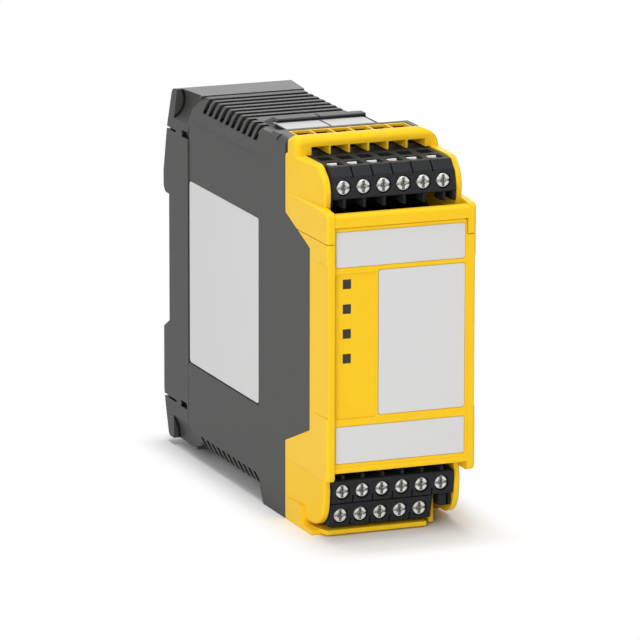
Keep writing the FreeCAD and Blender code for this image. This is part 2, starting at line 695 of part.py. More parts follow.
def cover_cheeks():
    """Lower terminal cheeks: the left one ends in a notched strip, the right one slopes up to its nose."""
    nose = rounded_cheek([
        (PARTING_V, COVER_LOW_Z, 0),
        (PARTING_V, NOSE_LOW_Z, 0),
        (7.7, NOSE_LOW_Z, 8.0),
        (6.4, NOSE_LOW_Z + 10.8, 4.0),
        (7.2, COVER_LOW_Z, 0),
    ], 0, COVER_LOW_Z - 0.01)
    inner = HALF - CHEEK_THICK
    root = NOSE_LOW_Z + 4
    right_strip = side_prism([
        (PARTING_V, root, 0),
        (PARTING_V, 0.6, 0),
        (23.0, 1.3, 0),
        (17.0, NOSE_LOW_Z, 0),
        (17.0, root, 0),
    ], inner, HALF)
    left_strip = side_prism([
        (PARTING_V, root, 0),
        (PARTING_V, 0, 1.2),
        (11.6, 0, 0),
        (11.6, 1.4, 0.3),
        (18.4, 1.4, 0.5),
        (19.6, NOSE_LOW_Z + 1.4, 0),
        (19.6, root, 0),
    ], -HALF, -inner)
    return [nose, mirrored(nose), left_strip, right_strip]


def front_cover():
    """Yellow front cover: label panel between rims, lower terminal cheeks and bottom shelf."""
    top = SEAM_Z - SEAM
    inner = HALF - RIM
    rim = side_prism([
        (0, WING_LOW_Z, 1.6),
        (0, top, 0),
        (waist_edge_v(top), top, 0),
        (WAIST_V, WAIST_TOP_Z, 0.6),
        (WAIST_V, WAIST_LOW_Z, 0.6),
        (PARTING_V, CHEEK_LOW_Z, 0),
        (PARTING_V, WING_LOW_Z, 0),
    ], inner, HALF)
    rim = rim.makeFillet(RIM_ROUND, edges_where(rim, lambda p: p.x > HALF - 0.01 and p.y < 1.0))
    grip = plan_prism([
        (HALF - GRIP_DEEP, -1, 0),
        (HALF - GRIP_DEEP, 1.5, 0),
        (HALF, WAIST_V - 1, 0),
        (HALF + 1, WAIST_V - 1, 0),
        (HALF + 1, -1, 0),
    ], WAIST_LOW_Z + 6.0, WAIST_TOP_Z - 2.6)
    rim = rim.cut(grip)
    tongue = inner - SEAM
    panel = front_prism([
        (-inner - 0.5, COVER_LOW_Z, 0),
        (inner + 0.5, COVER_LOW_Z, 0),
        (inner + 0.5, top, 0),
        (tongue, top, 0),
        (tongue, TONGUE_TOP_Z, 0.6),
        (-tongue, TONGUE_TOP_Z, 0.6),
        (-tongue, top, 0),
        (-inner - 0.5, top, 0),
    ], FACE_V, FACE_V + PANEL_THICK)
    ledge = side_prism([
        (0.4, COVER_LOW_Z, 0.6),
        (0.4, COVER_LOW_Z + 1.6, 0.6),
        (FACE_V + 1, COVER_LOW_Z + 1.6, 0),
        (FACE_V + 4.0, COVER_LOW_Z, 0),
    ], -inner - 0.5, inner + 0.5)
    shelf_end = STEP_X - 0.3
    shelf = plan_prism([
        (-HALF + 1, PARTING_V, 0),
        (-HALF + 1.7, 14.0, 0),
        (-HALF + 3.4, SHELF_V, 0.8),
        (shelf_end, SHELF_V, 0.6),
        (shelf_end, PARTING_V - 8, 0),
        (HALF - 1, PARTING_V - 8, 0),
        (HALF - 1, PARTING_V, 0),
    ], SHELF_LOW_Z, SHELF_LOW_Z + SHELF_THICK)
    wall_x = LOWEST_ROW.poles[-1] + POLE / 2 + BLOCK_END + BLOCK_GAP
    wall = side_prism([
        (PARTING_V - 1, SHELF_LOW_Z, 0),
        (11.0, SHELF_LOW_Z, 0.6),
        (11.0, LOWEST_ROW.z + 3.2, 0.6),
        (PARTING_V - 1, LOWEST_ROW.z + 3.2, 0),
    ], wall_x, wall_x + END_WALL)
    posts = []
    for x in (-DISPLAY_HALF + 6, DISPLAY_HALF - 6):
        for z in (DISPLAY_BOARD[0] + 6, DISPLAY_BOARD[1] - 4):
            posts.append(bolt(x, z, 3.0, FACE_V + 1, DISPLAY_V))
    body = rim.fuse([mirrored(rim), panel, ledge, shelf, wall] + cover_cheeks() + posts)
    cuts = []
    sink = FACE_V + LABEL_SINK
    for x0, x1, span in front_label_places().values():
        pocket = frame_corners(x0 - LABEL_GAP, x1 + LABEL_GAP, span[0] - LABEL_GAP, span[1] + LABEL_GAP, 0.7)
        cuts.append(front_prism(pocket, FACE_V - 1, sink))
    field = frame_corners(LIGHT_FIELD[0], LIGHT_FIELD[1], INFO_LABEL[0] - 0.6, INFO_LABEL[1] - 0.4, 0.5)
    cuts.append(front_prism(field, FACE_V - 1, FACE_V + FIELD_SINK))
    for z in LIGHT_ROWS:
        cuts.append(light_bar(z, 0, FACE_V - 1, FACE_V + PANEL_THICK + 1))
    return body.cut(cuts).removeSplitter()


def light_bar(z, gap, v0, v1):
    """Bar with the outline of one light window, smaller by a gap all round."""
    wide = LIGHT_WIDE / 2 - gap
    tall = LIGHT_TALL / 2 - gap
    return box(LIGHT_X - wide, LIGHT_X + wide, v0, v1, z - tall, z + tall)


def front_label_places():
    """Left edge, right edge and heights of each label on the front."""
    return {
        "upper_label": (-LABEL_HALF, LABEL_HALF, UPPER_LABEL),
        "info_label": (INFO_LEFT, LABEL_HALF, INFO_LABEL),
        "lower_label": (-LABEL_HALF, LABEL_HALF, LOWER_LABEL),
    }


def front_label(x0, x1, span):
    """Bare label that lies in its pocket of the front cover."""
    v0 = FACE_V + LABEL_SINK - LABEL_THICK
    return front_prism(frame_corners(x0, x1, span[0], span[1], 0.6), v0, v0 + LABEL_THICK)


def side_label():
    """Bare label on the left side of the case."""
    x0 = -HALF + PANEL_DEEP - LABEL_THICK
    corners = frame_corners(BEVEL_V + 0.5, REAR_V - 1.0, PANEL_LOW_Z + 0.4, WAIST_TOP_Z + 0.3, 1.2)
    return side_prism(corners, x0, x0 + LABEL_THICK)


def top_label(span):
    """Bare label on the top, tucked under the label carrier."""
    z0 = BED_Z - LABEL_SINK
    return box(span[0], span[1], STRIP_V + 0.7, HOLDER_V + 2.2, z0, z0 + LABEL_THICK)


def light_guide():
    """Clear light guide with one window per status light."""
    bar_v = FACE_V + PANEL_THICK + 0.1
    low = LIGHT_ROWS[-1] - LIGHT_TALL
    high = LIGHT_ROWS[0] + LIGHT_TALL
    bar = box(LIGHT_X - 1.6, LIGHT_X + 1.6, bar_v, bar_v + 1.6, low, high)
    windows = []
    for z in LIGHT_ROWS:
        windows.append(light_bar(z, LIGHT_GAP, FACE_V + FIELD_SINK, bar_v + 0.5))
        windows.append(bolt(LIGHT_X, z, 2.0, bar_v + 1.0, DISPLAY_V - 1.3))
    return bar.fuse(windows).removeSplitter()


def status_leds():
    """Four light emitting diodes on the display board."""
    leds = []
    for z in LIGHT_ROWS:
        leds.append(box(LIGHT_X - 0.8, LIGHT_X + 0.8, DISPLAY_V - 1.1, DISPLAY_V, z - 0.6, z + 0.6))
    return Part.makeCompound(leds)


def cage_v(row):
    """Depth of the wire clamps' front faces."""
    return row.head + HEAD_TALL + CAGE_BACK


def cage_span(row):
    """Heights of a wire clamp; under an upper wire hole it reaches close to the top of the block."""
    high = TOP_BLOCK_Z - 1.0 if row.wire_up else row.z + CAGE_HALF_TALL
    return row.z - CAGE_HALF_TALL, high


def terminal_block(row, profile):
    """Black terminal block: pole grooves, screw wells, clamp pockets, wire holes and pin sockets."""
    left = row.poles[0] - POLE / 2 - BLOCK_END
    right = row.poles[-1] + POLE / 2 + BLOCK_END
    body = side_prism(profile, left, right)
    low = min(z for v, z, radius in profile)
    high = max(z for v, z, radius in profile)
    cuts = []
    pocket_v = cage_v(row) - CAGE_GAP
    pocket_end = cage_v(row) + CAGE_LONG + CAGE_GAP
    cage_low, cage_high = cage_span(row)
    wire_v = pocket_end - WIRE_LONG
    wire_z = (row.z, high + 1) if row.wire_up else (low - 1, row.z)
    pocket = CAGE_WIDE / 2 + CAGE_GAP
    socket = PIN / 2 + 3 * PIN_GAP
    for x in row.poles:
        cuts.append(bolt(x, row.z, SCREW_HEAD + 2 * HEAD_GAP, row.head - 4, row.head + HEAD_TALL + 0.15))
        cuts.append(bolt(x, row.z, SCREW_SHAFT + 0.5, row.head, row.head + SCREW_LONG + 0.6))
        z0, z1 = cage_low - CAGE_GAP, cage_high + CAGE_GAP
        cuts.append(box(x - pocket, x + pocket, pocket_v, pocket_end, z0, z1))
        hole = frame_corners(x - WIRE_WIDE / 2, x + WIRE_WIDE / 2, wire_v, pocket_end, WIRE_ROUND)
        cuts.append(plan_prism(hole, wire_z[0], wire_z[1]))
        if row.wire_up:
            probe = WIRE_WIDE * 0.45
            probe_v = pocket_end + 2.3
            cuts.append(box(x - probe, x + probe, probe_v, probe_v + PROBE_LONG, high - 2.4, high + 1))
        cuts.append(box(x - socket, x + socket, BLOCK_REAR_V - PIN_REACH - 1, BLOCK_REAR_V + 1,
                        row.z - socket, row.z + socket))
    groove_z = (high - 3.0, high + 1) if row.wire_up else (low - 1, low + 2.2)
    for x in row.poles[:-1]:
        edge = x + POLE / 2
        cuts.append(box(edge - GROOVE / 2, edge + GROOVE / 2, 0, row.head + 2.9, groove_z[0], groove_z[1]))
    return body.cut(cuts)


def guide_legs(row, z0, z1):
    """Comb of thin legs between a block's face and the yellow lip."""
    legs = []
    for x in row.poles:
        legs.append(box(x - LEG / 2, x + LEG / 2, row.head - 0.8, row.head + 5.3, z0, z1))
    return legs


def top_block():
    """Upper six-pole block with a comb of guide legs under its face."""
    head, z = TOP_ROW.head, TOP_ROW.z
    body = terminal_block(TOP_ROW, [
        (head + 2.5, TOP_BLOCK_Z, 0.4),
        (head + 0.3, z + 3.2, 0),
        (head - 1.3, z - 3.0, 0.4),
        (head + 2.3, z - 3.4, 0),
        (BLOCK_REAR_V, z - 3.4, 0),
        (BLOCK_REAR_V, TOP_BLOCK_Z, 0),
    ])
    legs = guide_legs(TOP_ROW, LIP_Z + 0.5, z - 2.8)
    end = TOP_ROW.poles[-1] + POLE / 2 + BLOCK_END
    legs.append(box(end - LEG, end, head - 0.8, head + 5.3, LIP_Z + 0.5, z - 2.8))
    return body.fuse(legs).removeSplitter()


def bottom_block():
    """Bottom six-pole block with guide legs above its face and a keying foot at its right end."""
    head, z = BOTTOM_ROW.head, BOTTOM_ROW.z
    body = terminal_block(BOTTOM_ROW, [
        (head - 1.6, z + 3.6, 0.4),
        (head - 0.6, z - 3.2, 0.2),
        (BLOCK_REAR_V, z - 3.2, 0),
        (BLOCK_REAR_V, z + 3.8, 0),
        (head + 1.8, z + 3.8, 0),
    ])
    end = BOTTOM_ROW.poles[-1] + POLE / 2 + BLOCK_END
    foot_x = LOWEST_ROW.poles[-1] + POLE / 2 + BLOCK_END + END_WALL + 2 * BLOCK_GAP
    foot = box(foot_x, end, head + 1.0, BLOCK_REAR_V, z - 7.1, z - 2.7)
    body = body.fuse(guide_legs(BOTTOM_ROW, z + 3.4, COVER_LOW_Z - 2.0) + [foot])
    keyway = box(end - 1.4, end - 0.6, 0, head + 2.4, z - 7, z - 3.4)
    return body.cut(keyway).removeSplitter()


def lowest_block():
    """Lowest five-pole block above the yellow shelf."""
    head, z = LOWEST_ROW.head, LOWEST_ROW.z
    return terminal_block(LOWEST_ROW, [
        (head - 1.8, z + 3.7, 0.2),
        (head + 0.2, z - 3.2, 0.4),
        (BLOCK_REAR_V, z - 3.2, 0),
        (BLOCK_REAR_V, z + 3.7, 0),
    ]).removeSplitter()


def clamps(row):
    """Wire clamps of one block, one per pole."""
    cages = []
    v0 = cage_v(row)
    low, high = cage_span(row)
    half = CAGE_WIDE / 2
    bore = half - CAGE_WALL
    for x in row.poles:
        cage = box(x - half, x + half, v0, v0 + CAGE_LONG, low, high)
        room = box(x - bore, x + bore, v0 + 2 * CAGE_WALL, v0 + CAGE_LONG - CAGE_WALL, low - 1, high + 1)
        thread = bolt(x, row.z, SCREW_SHAFT + 0.2, v0 - 1, v0 + 2)
        if row.wire_up:
            tab_v = v0 + CAGE_LONG - CAGE_WALL
            tab = CAGE_TAB / 2
            cage = cage.fuse(box(x - tab, x + tab, tab_v, tab_v + CAGE_WALL, high - 1, TOP_BLOCK_Z - 0.35))
        cages.append(cage.cut([room, thread]).removeSplitter())
    return Part.makeCompound(cages)


def terminal_screw(x, row):
    """Terminal screw with a cross recess that a flat driver fits too."""
    v0 = row.head
    head = bolt(x, row.z, SCREW_HEAD, v0, v0 + HEAD_TALL)
    head = head.makeChamfer(HEAD_BEVEL, edges_where(head, lambda p: abs(p.y - v0) < 0.01))
    shaft = bolt(x, row.z, SCREW_SHAFT, v0 + HEAD_TALL - 0.2, v0 + SCREW_LONG)
    slot = box(x - SCREW_HEAD, x + SCREW_HEAD, v0 - 1, v0 + 0.7, row.z - 0.36, row.z + 0.36)
    arm = SCREW_HEAD * 0.4
    cross = box(x - 0.42, x + 0.42, v0 - 1, v0 + 0.9, row.z - arm, row.z + arm)
    middle = Part.makeCone(0.95, 0.4, 1.2, V(x, v0 - DEPTH / 2, row.z), V(0, 1, 0))
    return head.fuse(shaft).cut([slot, cross, middle]).removeSplitter()


def header(row):
    """Pin header body that a terminal block plugs onto."""
    v0 = BLOCK_REAR_V + RUN_CLEAR
    tall = HEADER_HALF_TALL
    left = row.poles[0] - POLE / 2
    right = row.poles[-1] + POLE / 2
    body = box(left, right, v0, v0 + HEADER_LONG, row.z - tall, row.z + tall)
    hole = PIN / 2 + PIN_GAP
    holes = []
    for x in row.poles:
        holes.append(box(x - hole, x + hole, v0 - 1, v0 + HEADER_LONG + 1, row.z - hole, row.z + hole))
    return body.cut(holes)


def header_pins(row):
    """Pins of one header."""
    half = PIN / 2
    pins = []
    for x in row.poles:
        pins.append(box(x - half, x + half, BLOCK_REAR_V - PIN_REACH, BOARD_V, row.z - half, row.z + half))
    return Part.makeCompound(pins)


def upright_board(span):
    """Terminal board that stands across the case in its guides."""
    edge = HALF - WALL - BOARD_GAP
    return box(-edge, edge, BOARD_V, BOARD_V + BOARD, span[0], span[1])


def logic_board():
    """Logic board along the left side, with a nose that reaches the display board."""
    v0 = BOARD_V + BOARD + BOARD_GAP
    v1 = REAR_V - WALL - BOARD_GAP
    nose = DISPLAY_V + BOARD + 1.4
    top = TOP_BOARD[1] - BOARD_GAP
    low = VENT_FLOOR_Z + 4.2
    corners = [
        (v0, top, 0),
        (v1 - 8.0, top, 0),
        (v1, top - 8.0, 0),
        (v1, low + 5.8, 0),
        (v1 - 8.0, low, 0),
        (v0, low, 0),
        (v0, DISPLAY_BOARD[0] + 2.0, 0),
        (nose, DISPLAY_BOARD[0] + 2.0, 0),
        (nose, DISPLAY_BOARD[1] - 3.0, 0),
        (v0, DISPLAY_BOARD[1] - 3.0, 0),
    ]
    return side_prism(corners, LOGIC_X, LOGIC_X + BOARD)


def relay_board():
    """Relay board along the right side."""
    v0 = BOARD_V + BOARD + BOARD_GAP
    v1 = REAR_V - WALL - BOARD_GAP
    top = STEP_Z - WALL - 2.7
    low = VENT_FLOOR_Z + 4.2
    corners = [
        (v0, top, 0),
        (v1 - 6.0, top, 0),
        (v1, top - 6.0, 0),
        (v1, low + 5.8, 0),
        (v1 - 8.0, low, 0),
        (v0, low, 0),
    ]
    return side_prism(corners, RELAY_X, RELAY_X + BOARD)


def safety_relay(z):
    """One safety relay on the relay board."""
    corners = frame_corners(RELAY_V, RELAY_V + RELAY_LONG, z, z + RELAY_TALL, 0.6)
    return side_prism(corners, RELAY_X - RELAY_DEEP, RELAY_X)


def controller_chip(z):
    """One of the two controller chips on the logic board."""
    x = LOGIC_X + BOARD
    return box(x, x + 1.4, CHIP_V, CHIP_V + CHIP_SIDE, z, z + CHIP_SIDE)


def supply_capacitor():
    """Round capacitor on the logic board."""
    foot = LOGIC_X + BOARD
    centre = V(foot, REAR_V - 14.6 - DEPTH / 2, WAIST_LOW_Z)
    can = Part.makeCylinder(CAN_ROUND / 2, CAN_LONG, centre, V(1, 0, 0))
    return can.makeFillet(0.5, edges_where(can, lambda p: p.x > foot + CAN_LONG - 0.1))


def board_link(x0, v0, z0, z1):
    """Plug connector in the corner between two boards."""
    return box(x0, x0 + LINK_WIDE, v0, v0 + LINK_LONG, z0, z1)


LOGIC_FACE = LOGIC_X + BOARD
LINK_V = BOARD_V + BOARD
NODES = {
    "main_case": main_case(),
    "rear_base": rear_base(),
    "rail_latch": rail_latch(),
    "latch_spring": latch_spring(),
    "terminal_hood": terminal_hood(),
    "front_cover": front_cover(),
    "side_label": side_label(),
    "top_label_left": top_label(top_label_spans()[0]),
    "top_label_right": top_label(top_label_spans()[1]),
    "light_guide": light_guide(),
    "status_leds": status_leds(),
    "display_board": box(-DISPLAY_HALF, DISPLAY_HALF, DISPLAY_V, DISPLAY_V + BOARD, *DISPLAY_BOARD),
    "top_terminal_block": top_block(),
    "bottom_terminal_block": bottom_block(),
    "lowest_terminal_block": lowest_block(),
    "top_terminal_board": upright_board(TOP_BOARD),
    "bottom_terminal_board": upright_board(LOW_BOARD),
    "logic_board": logic_board(),
    "relay_board": relay_board(),
    "safety_relay_1": safety_relay(COVER_LOW_Z),
    "safety_relay_2": safety_relay(COVER_LOW_Z + 2 * RELAY_TALL),
    "safety_relay_3": safety_relay(COVER_LOW_Z + 4 * RELAY_TALL),
    "controller_chip_1": controller_chip(RAIL_MID_Z + 1.8 * CHIP_SIDE / 2),
    "controller_chip_2": controller_chip(RAIL_MID_Z - 1.8 * CHIP_SIDE / 2),
    "supply_capacitor": supply_capacitor(),
    "top_board_link": board_link(LOGIC_FACE, LINK_V, TOP_BOARD[0] + 1, TOP_BOARD[0] + 11),
    "bottom_board_link": board_link(LOGIC_FACE, LINK_V, LOW_BOARD[1] - 14, LOW_BOARD[1] - 4),
    "relay_board_link": board_link(RELAY_X - LINK_WIDE, LINK_V, LOW_BOARD[1] - 14, LOW_BOARD[1] - 4),
    "display_link": board_link(LOGIC_FACE, DISPLAY_V + BOARD, RAIL_MID_Z - 6, RAIL_MID_Z + 6),
}
for name, place in front_label_places().items():
    NODES[name] = front_label(*place)
for name, row in ROWS.items():
    NODES[f"{name}_clamps"] = clamps(row)
    NODES[f"{name}_header"] = header(row)
    NODES[f"{name}_pins"] = header_pins(row)
    for number, pole_x in enumerate(row.poles, start=1):
        NODES[f"{name}_screw_{number}"] = terminal_screw(pole_x, row)

for name, shape in NODES.items():
    shape.exportStep(f"parts/{name}.step")
    print(name, len(shape.Solids), shape.isValid(), round(shape.Volume, 1))
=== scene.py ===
import logging
import math
from dataclasses import dataclass
from enum import Enum
from typing import Any

import bpy
import numpy as np
from mathutils import Matrix, Vector


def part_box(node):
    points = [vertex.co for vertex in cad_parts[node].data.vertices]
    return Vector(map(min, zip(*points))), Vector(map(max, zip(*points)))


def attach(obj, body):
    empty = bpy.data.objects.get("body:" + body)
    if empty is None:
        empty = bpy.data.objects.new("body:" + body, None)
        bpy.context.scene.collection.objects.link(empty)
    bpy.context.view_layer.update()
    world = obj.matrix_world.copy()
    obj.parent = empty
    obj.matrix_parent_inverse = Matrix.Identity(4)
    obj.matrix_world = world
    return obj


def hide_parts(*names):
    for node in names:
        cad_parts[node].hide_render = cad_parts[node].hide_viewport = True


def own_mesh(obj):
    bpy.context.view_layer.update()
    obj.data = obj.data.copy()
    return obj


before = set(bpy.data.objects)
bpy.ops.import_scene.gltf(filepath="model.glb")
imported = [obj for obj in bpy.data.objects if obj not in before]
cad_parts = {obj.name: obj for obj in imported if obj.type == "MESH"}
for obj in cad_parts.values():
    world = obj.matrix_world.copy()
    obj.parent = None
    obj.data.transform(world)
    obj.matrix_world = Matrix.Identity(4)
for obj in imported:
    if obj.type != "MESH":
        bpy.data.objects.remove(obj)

log = logging.getLogger("safety_controller")

MM = 0.001
IMAGE_PX = 640
SENSOR_MM = 36.0
FAR_CLIP_M = 50.0
SHADE_SAMPLES = 8
WHITE = "#FFFFFF"
# Numbers of the mix node's sockets for its factor, its two colours and the blended colour.
MIX_FACTOR, MIX_LOW, MIX_HIGH, MIX_RESULT = 0, 6, 7, 2


def linear(code: str) -> tuple[float, float, float, float]:
    """Turn an sRGB hex colour into linear light.

    Args:
        code: Colour as "#RRGGBB".

    Returns:
        Linear red, green, blue and an alpha of 1.
    """
    parts = np.array([int(code[i:i + 2], 16) for i in (1, 3, 5)]) / 255
    light = np.where(parts <= 0.04045, parts / 12.92, ((parts + 0.055) / 1.055) ** 2.4)
    return (*light.tolist(), 1.0)


def scaled(colour: tuple[float, ...], share: float) -> tuple[float, float, float, float]:
    """Make a linear colour lighter or darker.

    Args:
        colour: Linear colour.
        share: Factor for its three parts.

    Returns:
        The new colour, with parts of 1 at most.
    """
    return (*(min(1.0, part * share) for part in colour[:3]), 1.0)


def add_node(tree: bpy.types.NodeTree, kind: str, settings: dict[str | int, Any] | None = None,
             links: dict[str | int, bpy.types.NodeSocket] | None = None) -> bpy.types.Node:
    """Add a shader node with its settings and links.

    Args:
        tree: Node tree that takes the node.
        kind: Blender's class name of the node.
        settings: Attribute names, input names or input numbers with their values.
        links: Input names or numbers with the output sockets that feed them.

    Returns:
        The new node.
    """
    node = tree.nodes.new(kind)
    for name, value in (settings or {}).items():
        if isinstance(name, str) and hasattr(node, name):
            setattr(node, name, value)
        else:
            node.inputs[name].default_value = value
    for name, socket in (links or {}).items():
        tree.links.new(socket, node.inputs[name])
    return node


def seen_rays(tree: bpy.types.NodeTree) -> bpy.types.NodeSocket:
    """Tell the rays that show a surface, directly or in metal and glass, from those that light it.

    Args:
        tree: Node tree that takes the nodes.

    Returns:
        Socket with 1 for camera, glossy and transmission rays, and 0 for the others.
    """
    rays = add_node(tree, "ShaderNodeLightPath")
    seen = rays.outputs["Is Camera Ray"]
    for kind in ("Is Glossy Ray", "Is Transmission Ray"):
        more = add_node(tree, "ShaderNodeMath", {"operation": "MAXIMUM"}, {0: seen, 1: rays.outputs[kind]})
        seen = more.outputs["Value"]
    return seen


def new_material(name: str) -> tuple[bpy.types.Material, bpy.types.Node, bpy.types.NodeSocket]:
    """Start a material.

    Args:
        name: Name of the real material.

    Returns:
        The material, its shader and the socket with the piece's own coordinates.
    """
    material = bpy.data.materials.new(name)
    material.use_nodes = True
    shader = material.node_tree.nodes["Principled BSDF"]
    place = add_node(material.node_tree, "ShaderNodeTexCoord")
    return material, shader, place.outputs["Object"]


@dataclass(frozen=True)
class MouldedPlastic:
    """Injection-moulded plastic with the fine grain of a spark-eroded mould.

    The grain breaks the highlight up, and the edge radius catches a thin line of light. The real grain is
    under 0.1 mm, too fine to show, so it is drawn three to five times as coarse.
    """

    name: str
    colour: str
    rough: float
    grain_mm: float = 0.35
    grain_deep_mm: float = 0.015
    edge_mm: float = 0.0
    gloss: float = 0.3
    cloud: float = 0.03
    # Reach of the painted shade in narrow hollows; 0 paints none.
    groove_shade_mm: float = 0.0
    cloud_mm: float = 9.0
    rough_spread: float = 0.05

    def build(self) -> bpy.types.Material:
        """Make the material.

        Returns:
            Plastic with faint clouds in its colour and grain in its gloss and relief.
        """
        material, shader, place = new_material(self.name)
        tree = material.node_tree
        shader.inputs["Specular IOR Level"].default_value = self.gloss
        grain = add_node(tree, "ShaderNodeTexNoise",
                         {"Scale": 1 / (self.grain_mm * MM), "Detail": 2.0, "Roughness": 0.6},
                         {"Vector": place})
        flow = add_node(tree, "ShaderNodeTexNoise", {"Scale": 1 / (self.cloud_mm * MM), "Detail": 3.0},
                        {"Vector": place})
        base = linear(self.colour)
        mix = add_node(tree, "ShaderNodeMix",
                       {"data_type": "RGBA", MIX_LOW: scaled(base, 1 - self.cloud),
                        MIX_HIGH: scaled(base, 1 + self.cloud)},
                       {MIX_FACTOR: flow.outputs["Fac"]})
        tint = mix.outputs[MIX_RESULT]
        # Painted shade in narrow hollows, where a reach is set.
        if self.groove_shade_mm:
            tint = self.shade_grooves(tree, tint)
        tree.links.new(tint, shader.inputs["Base Color"])
        worn = add_node(tree, "ShaderNodeMapRange",
                        {"To Min": self.rough - self.rough_spread,
                         "To Max": self.rough + self.rough_spread},
                        {"Value": grain.outputs["Fac"]})
        tree.links.new(worn.outputs["Result"], shader.inputs["Roughness"])
        bump = add_node(tree, "ShaderNodeBump", {"Strength": 0.5, "Distance": self.grain_deep_mm * MM},
                        {"Height": grain.outputs["Fac"]})
        if self.edge_mm:
            soft = add_node(tree, "ShaderNodeBevel",
                            {"samples": SHADE_SAMPLES, "Radius": self.edge_mm * MM})
            tree.links.new(soft.outputs["Normal"], bump.inputs["Normal"])
        tree.links.new(bump.outputs["Normal"], shader.inputs["Normal"])
        return material

    def shade_grooves(self, tree: bpy.types.NodeTree, tint: bpy.types.NodeSocket) -> bpy.types.NodeSocket:
        """Paint shade into the plastic inside narrow slots and hollows, darker the more its own surfaces
        close around a point.

        Args:
            tree: Node tree that takes the nodes.
            tint: Socket with the colour of the open surface.

        Returns:
            Socket with the colour after shading.
        """
        # Painted shade: ambient occlusion of the piece's own surfaces scales its colour down.
        shade = add_node(tree, "ShaderNodeAmbientOcclusion",
                         {"samples": SHADE_SAMPLES, "only_local": True, "Distance": self.groove_shade_mm * MM})
        level = add_node(tree, "ShaderNodeMapRange",
                         {"From Min": 0.6, "From Max": 0.92, "To Min": 0.04, "To Max": 1.0},
                         {"Value": shade.outputs["AO"]})
        mix = add_node(tree, "ShaderNodeVectorMath", {"operation": "SCALE"},
                       {0: tint, "Scale": level.outputs["Result"]})
        return mix.outputs["Vector"]


@dataclass(frozen=True)
class PlatedMetal:
    """Plated or bare metal with faint marks; where it has a face plane, painted shade darkens the recesses
    behind that plane.
    """

    name: str
    colour: str
    rough: float
    mark_mm: float
    edge_mm: float = 0.0
    face_y_mm: float | None = None
    # Colour of the painted shade behind the face plane, and the depths where it starts and where it is
    # full.
    recess_shade: str = "#7E7E7C"
    recess_shade_mm: tuple[float, float] = (0.35, 0.9)
    rough_spread: tuple[float, float] = (0.06, 0.08)
    mark_share: float = 0.05

    def build(self) -> bpy.types.Material:
        """Make the material.

        Returns:
            Metal with marks in its gloss, and with painted shade in its recess or faint marks in its
            colour.
        """
        material, shader, place = new_material(self.name)
        tree = material.node_tree
        shader.inputs["Metallic"].default_value = 1.0
        marks = add_node(tree, "ShaderNodeTexNoise", {"Scale": 1 / (self.mark_mm * MM), "Detail": 3.0},
                         {"Vector": place})
        worn = add_node(tree, "ShaderNodeMapRange",
                        {"To Min": self.rough - self.rough_spread[0],
                         "To Max": self.rough + self.rough_spread[1]},
                        {"Value": marks.outputs["Fac"]})
        tree.links.new(worn.outputs["Result"], shader.inputs["Roughness"])
        bright = linear(self.colour)
        low, high = scaled(bright, 1 - self.mark_share), scaled(bright, 1 + self.mark_share)
        factor = marks.outputs["Fac"]
        # Painted shade: behind the face plane the colour turns towards the shade colour with depth.
        if self.face_y_mm is not None:
            low, high = bright, linear(self.recess_shade)
            axes = add_node(tree, "ShaderNodeSeparateXYZ", links={"Vector": place})
            deep = add_node(tree, "ShaderNodeMapRange",
                            {"From Min": (self.face_y_mm + self.recess_shade_mm[0]) * MM,
                             "From Max": (self.face_y_mm + self.recess_shade_mm[1]) * MM},
                            {"Value": axes.outputs["Y"]})
            factor = deep.outputs["Result"]
        tint = add_node(tree, "ShaderNodeMix", {"data_type": "RGBA", MIX_LOW: low, MIX_HIGH: high},
                        {MIX_FACTOR: factor})
        tree.links.new(tint.outputs[MIX_RESULT], shader.inputs["Base Color"])
        if self.edge_mm:
            soft = add_node(tree, "ShaderNodeBevel",
                            {"samples": SHADE_SAMPLES, "Radius": self.edge_mm * MM})
            tree.links.new(soft.outputs["Normal"], shader.inputs["Normal"])
        return material


@dataclass(frozen=True)
class SolderResist:
    """Circuit board under green resist, with lighter lines where copper runs below it."""

    name: str
    colour: str
    track: str
    track_mm: float
    field_mm: tuple[float, float] = (5.2, 1.3)
    field_share: float = 0.85
    rough: float = 0.35

    def build(self) -> bpy.types.Material:
        """Make the material.

        The tracks are drawn over x + y and z, so that they run along a board whichever way it stands.

        Returns:
            Green resist with lighter tracks between its fields.
        """
        material, shader, place = new_material(self.name)
        tree = material.node_tree
        axes = add_node(tree, "ShaderNodeSeparateXYZ", links={"Vector": place})
        along = add_node(tree, "ShaderNodeMath", {"operation": "ADD"},
                         {0: axes.outputs["X"], 1: axes.outputs["Y"]})
        flat = add_node(tree, "ShaderNodeCombineXYZ",
                        links={"X": along.outputs["Value"], "Y": axes.outputs["Z"]})
        green = linear(self.colour)
        tracks = add_node(tree, "ShaderNodeTexBrick",
                          {"Color1": green, "Color2": scaled(green, self.field_share),
                           "Mortar": linear(self.track), "Scale": 1 / MM, "Mortar Size": self.track_mm,
                           "Brick Width": self.field_mm[0], "Row Height": self.field_mm[1]},
                          {"Vector": flat.outputs["Vector"]})
        tree.links.new(tracks.outputs["Color"], shader.inputs["Base Color"])
        shader.inputs["Roughness"].default_value = self.rough
        return material


